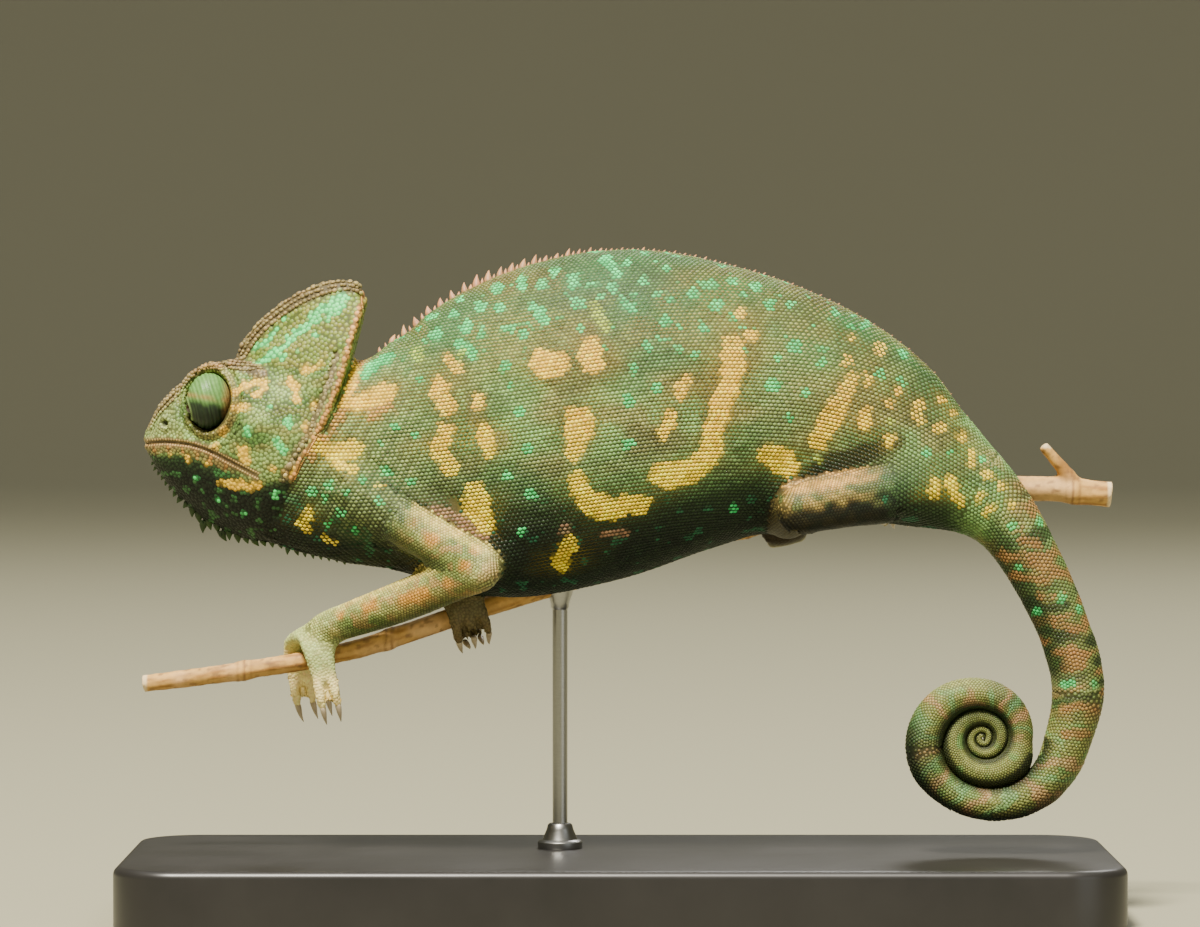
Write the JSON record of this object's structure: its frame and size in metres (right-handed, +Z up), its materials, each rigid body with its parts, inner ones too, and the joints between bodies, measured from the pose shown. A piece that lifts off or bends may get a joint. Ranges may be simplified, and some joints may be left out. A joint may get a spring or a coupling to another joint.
{
  "type": "chameleon figure",
  "caption": "Life-size still model of a veiled chameleon gripping a cut perch, tail coiled, on a flat display stand with one rod.",
  "frame": {"origin": "centre of the stand base's underside", "axes": "+Z up; the animal faces -X and its left side faces -Y; the perch runs along X"},
  "size_m": [0.1843, 0.076, 0.1233],
  "materials": {
    "skin": "granular scaly skin, dark green with yellow-orange and turquoise markings",
    "eye": "scaly eye turret with a small glossy dark eye in it",
    "claw": "pale horn, satin",
    "bark": "thin tan bark, matt",
    "base": "dark stained board, satin lacquer",
    "steel": "brushed"
  },
  "bodies": {
    "root": {"head": "skin", "casque": "skin", "lower_jaw": "skin", "neck": "skin", "trunk": "skin", "tail_1": "skin", "tail_2": "skin", "tail_3": "skin", "tail_4": "skin", "tail_5": "skin", "upper_fore_left": "skin", "lower_fore_left": "skin", "foot_fore_left": "skin", "upper_fore_right": "skin", "lower_fore_right": "skin", "foot_fore_right": "skin", "upper_hind_left": "skin", "lower_hind_left": "skin", "foot_hind_left": "skin", "upper_hind_right": "skin", "lower_hind_right": "skin", "foot_hind_right": "skin", "eye_left": "eye", "eye_right": "eye", "claw_fore_left_1": "claw", "claw_fore_left_2": "claw", "claw_fore_left_3": "claw", "claw_fore_left_4": "claw", "claw_fore_left_5": "claw", "claw_fore_right_1": "claw", "claw_fore_right_2": "claw", "claw_fore_right_3": "claw", "claw_fore_right_4": "claw", "claw_fore_right_5": "claw", "claw_hind_left_1": "claw", "claw_hind_left_2": "claw", "claw_hind_left_3": "claw", "claw_hind_left_4": "claw", "claw_hind_left_5": "claw", "claw_hind_right_1": "claw", "claw_hind_right_2": "claw", "claw_hind_right_3": "claw", "claw_hind_right_4": "claw", "claw_hind_right_5": "claw", "perch": "bark", "stand_base": "base", "stand_ferrule": "steel", "stand_rod": "steel", "stand_saddle": "steel"}
  },
  "joints": []
}
